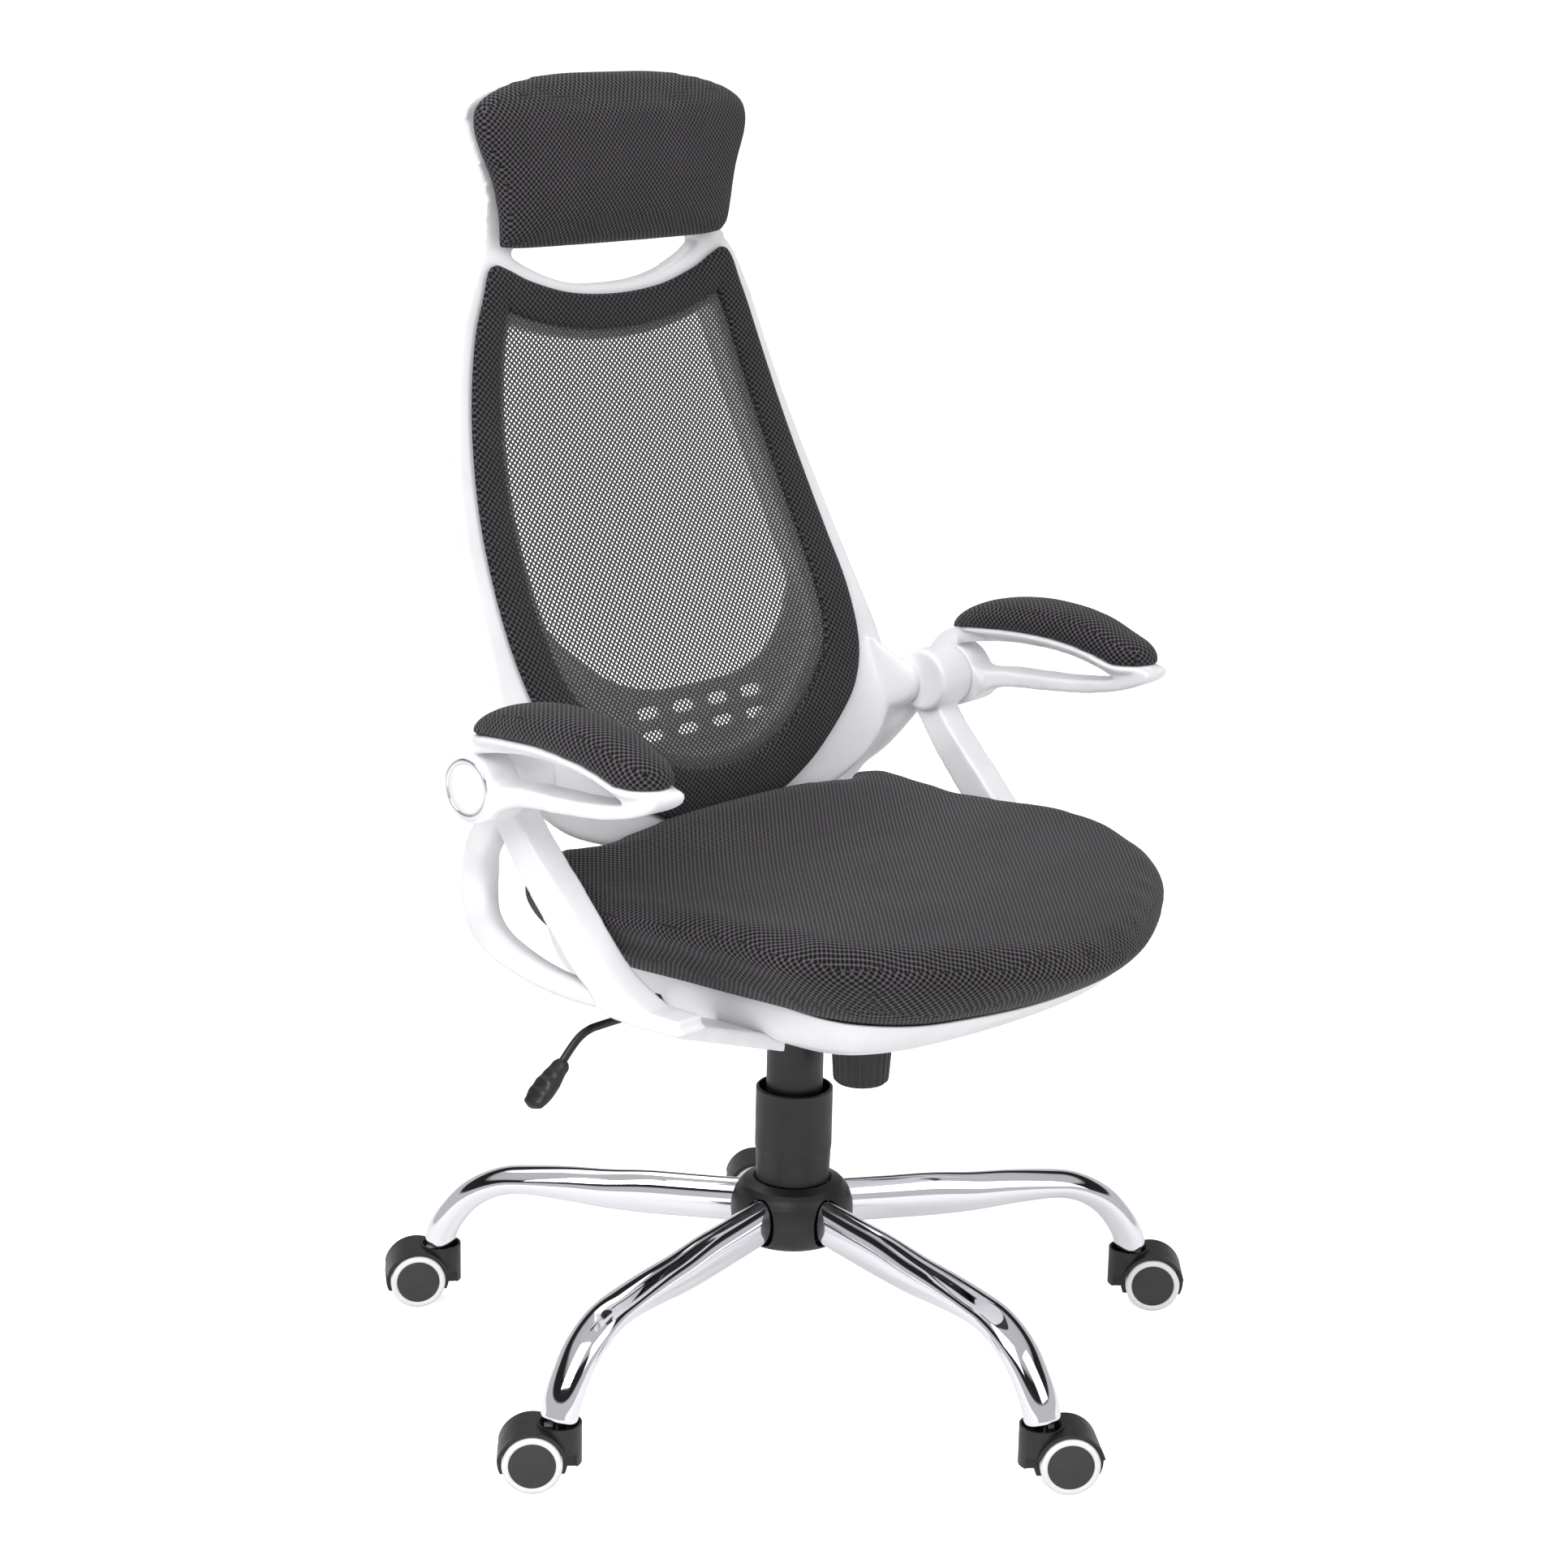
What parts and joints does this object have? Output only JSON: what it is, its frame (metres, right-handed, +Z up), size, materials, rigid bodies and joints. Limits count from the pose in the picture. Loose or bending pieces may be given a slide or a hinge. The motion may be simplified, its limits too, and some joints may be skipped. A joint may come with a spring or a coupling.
{
  "type": "office chair",
  "caption": "High-back swivel chair with a net back in a moulded frame, padded headrest, flip-up armrests, tilt mechanism and a tubular star base on twin-wheel casters.",
  "frame": {"origin": "on the floor, on the axis of the column", "axes": "+Z up, -Y the way the sitter faces, +X the sitter's left"},
  "size_m": [0.7284, 0.7324, 1.114],
  "materials": {
    "chrome_tube": "mirror polished",
    "steel": "zinc plated",
    "black_plastic": "fine moulded grain",
    "black_metal": "satin black paint",
    "piston_steel": "polished rod",
    "plywood": "raw plywood",
    "white_plastic": "smooth semi-gloss",
    "seat_fabric": "three-dimensional spacer mesh",
    "back_net": "open net",
    "border_fabric": "double layer of mesh",
    "ring_chrome": "satin chrome",
    "caster_wheel": "dark core with a pale tread ring"
  },
  "bodies": {
    "base": {"hub_socket": "steel", "hub_cover": "black_plastic", "base_legs": "chrome_tube", "leg_sockets": "steel", "gas_tube": "black_metal", "lower_cover": "black_plastic"},
    "swivel": {"gas_rod": "piston_steel"},
    "lift": {"gas_cylinder": "black_metal", "mech_housing": "black_metal", "tilt_axle": "steel", "tilt_spring": "steel"},
    "seat": {"mech_plate": "black_metal", "seat_bolts": "steel", "seat_board": "plywood", "seat_shell": "white_plastic", "seat_cushion": "seat_fabric", "arm_bracket_r": "white_plastic", "arm_bracket_l": "white_plastic", "pivot_pin_r": "steel", "pivot_pin_l": "steel", "back_frame": "white_plastic", "head_plate": "white_plastic", "back_mesh": "back_net", "mesh_border": "border_fabric", "headrest_pad": "seat_fabric", "frame_screws": "steel"},
    "bolt": {"tension_bolt": "steel"},
    "washer": {"spring_washer": "steel"},
    "knob": {"tension_knob": "black_plastic"},
    "bush": {"lever_bush": "black_plastic"},
    "lever": {"lever_rod": "black_metal", "lever_grip": "black_plastic"},
    "armrest_right": {"armrest_r": "white_plastic", "arm_pad_r": "seat_fabric", "pivot_ring_r": "ring_chrome", "pivot_cap_r": "white_plastic"},
    "armrest_left": {"armrest_l": "white_plastic", "arm_pad_l": "seat_fabric", "pivot_ring_l": "ring_chrome", "pivot_cap_l": "white_plastic"},
    "caster_0": {"caster_hood_0": "black_plastic", "caster_pins_0": "steel"},
    "wheel_a_0": {"caster_wheel_a_0": "caster_wheel"},
    "wheel_b_0": {"caster_wheel_b_0": "caster_wheel"},
    "caster_1": {"caster_hood_1": "black_plastic", "caster_pins_1": "steel"},
    "wheel_a_1": {"caster_wheel_a_1": "caster_wheel"},
    "wheel_b_1": {"caster_wheel_b_1": "caster_wheel"},
    "caster_2": {"caster_hood_2": "black_plastic", "caster_pins_2": "steel"},
    "wheel_a_2": {"caster_wheel_a_2": "caster_wheel"},
    "wheel_b_2": {"caster_wheel_b_2": "caster_wheel"},
    "caster_3": {"caster_hood_3": "black_plastic", "caster_pins_3": "steel"},
    "wheel_a_3": {"caster_wheel_a_3": "caster_wheel"},
    "wheel_b_3": {"caster_wheel_b_3": "caster_wheel"},
    "caster_4": {"caster_hood_4": "black_plastic", "caster_pins_4": "steel"},
    "wheel_a_4": {"caster_wheel_a_4": "caster_wheel"},
    "wheel_b_4": {"caster_wheel_b_4": "caster_wheel"}
  },
  "joints": [
    {"name": "seat_swivel", "type": "hinge", "parent": "base", "child": "swivel", "pos_m": [0, 0, 0.11], "axis": [0, 0, 1], "continuous": true},
    {"name": "seat_lift", "type": "slide", "parent": "swivel", "child": "lift", "axis": [0, 0, 1], "range_m": [0, 0.1]},
    {"name": "tilt", "type": "hinge", "parent": "lift", "child": "seat", "pos_m": [0, -0.03, 0.352], "axis": [-1, 0, 0], "range_deg": [0, 15], "stiffness_Nm_per_rad": 120, "springref_deg": -20.05, "deforming": ["tilt_spring"]},
    {"name": "bolt_swing", "type": "hinge", "parent": "seat", "child": "bolt", "pos_m": [0, -0.076, 0.385], "axis": [-1, 0, 0], "range_deg": [-4.5, 0]},
    {"name": "washer_rise", "type": "slide", "parent": "bolt", "child": "washer", "axis": [0, 0, 1], "range_m": [0, 0.006]},
    {"name": "tension_turn", "type": "hinge", "parent": "bolt", "child": "knob", "pos_m": [0, -0.076, 0.29], "axis": [0, 0, 1], "range_deg": [0, 1440]},
    {"name": "lock_slide", "type": "slide", "parent": "lift", "child": "bush", "axis": [-1, 0, 0], "range_m": [0, 0.012]},
    {"name": "release_lever", "type": "hinge", "parent": "bush", "child": "lever", "pos_m": [-0.0596, -0.004, 0.3635], "axis": [0, 1, 0], "range_deg": [0, 2.5], "stiffness_Nm_per_rad": 2, "springref_deg": -22.92},
    {"name": "armrest_right_flip", "type": "hinge", "parent": "seat", "child": "armrest_right", "pos_m": [-0.306, 0.074, 0.564], "axis": [-1, 0, 0], "range_deg": [0, 90]},
    {"name": "armrest_left_flip", "type": "hinge", "parent": "seat", "child": "armrest_left", "pos_m": [0.306, 0.074, 0.564], "axis": [-1, 0, 0], "range_deg": [0, 90]},
    {"name": "caster_0_swivel", "type": "hinge", "parent": "base", "child": "caster_0", "pos_m": [0.24373, 0.23129, 0.06], "axis": [0, 0, 1], "continuous": true},
    {"name": "wheel_a_0_roll", "type": "hinge", "parent": "caster_0", "child": "wheel_a_0", "pos_m": [0.2279, 0.24657, 0.025], "axis": [-0.6947, -0.7193, 0], "continuous": true},
    {"name": "wheel_b_0_roll", "type": "hinge", "parent": "caster_0", "child": "wheel_b_0", "pos_m": [0.2279, 0.24657, 0.025], "axis": [-0.6947, -0.7193, 0], "continuous": true},
    {"name": "caster_1_swivel", "type": "hinge", "parent": "base", "child": "caster_1", "pos_m": [-0.14465, 0.30327, 0.06], "axis": [0, 0, 1], "continuous": true},
    {"name": "wheel_a_1_roll", "type": "hinge", "parent": "caster_1", "child": "wheel_a_1", "pos_m": [-0.16175, 0.31711, 0.025], "axis": [-0.6293, -0.7771, 0], "continuous": true},
    {"name": "wheel_b_1_roll", "type": "hinge", "parent": "caster_1", "child": "wheel_b_1", "pos_m": [-0.16175, 0.31711, 0.025], "axis": [-0.6293, -0.7771, 0], "continuous": true},
    {"name": "caster_2_swivel", "type": "hinge", "parent": "base", "child": "caster_2", "pos_m": [-0.33313, -0.04386, 0.06], "axis": [0, 0, 1], "continuous": true},
    {"name": "wheel_a_2_roll", "type": "hinge", "parent": "caster_2", "child": "wheel_a_2", "pos_m": [-0.34868, -0.0283, 0.025], "axis": [-0.7071, -0.7071, 0], "continuous": true},
    {"name": "wheel_b_2_roll", "type": "hinge", "parent": "caster_2", "child": "wheel_b_2", "pos_m": [-0.34868, -0.0283, 0.025], "axis": [-0.7071, -0.7071, 0], "continuous": true},
    {"name": "caster_3_swivel", "type": "hinge", "parent": "base", "child": "caster_3", "pos_m": [-0.06123, -0.33037, 0.06], "axis": [0, 0, 1], "continuous": true},
    {"name": "wheel_a_3_roll", "type": "hinge", "parent": "caster_3", "child": "wheel_a_3", "pos_m": [-0.04514, -0.34538, 0.025], "axis": [0.682, 0.7314, 0], "continuous": true},
    {"name": "wheel_b_3_roll", "type": "hinge", "parent": "caster_3", "child": "wheel_b_3", "pos_m": [-0.04514, -0.34538, 0.025], "axis": [0.682, 0.7314, 0], "continuous": true},
    {"name": "caster_4_swivel", "type": "hinge", "parent": "base", "child": "caster_4", "pos_m": [0.29528, -0.16032, 0.06], "axis": [0, 0, 1], "continuous": true},
    {"name": "wheel_a_4_roll", "type": "hinge", "parent": "caster_4", "child": "wheel_a_4", "pos_m": [0.30942, -0.17718, 0.025], "axis": [0.766, 0.6428, 0], "continuous": true},
    {"name": "wheel_b_4_roll", "type": "hinge", "parent": "caster_4", "child": "wheel_b_4", "pos_m": [0.30942, -0.17718, 0.025], "axis": [0.766, 0.6428, 0], "continuous": true}
  ],
  "couplings": [
    {"joint": "bolt_swing", "follows": "tilt", "ratio": -0.3},
    {"joint": "washer_rise", "follows": "tension_turn", "m_per_rad": 0.00023873}
  ]
}
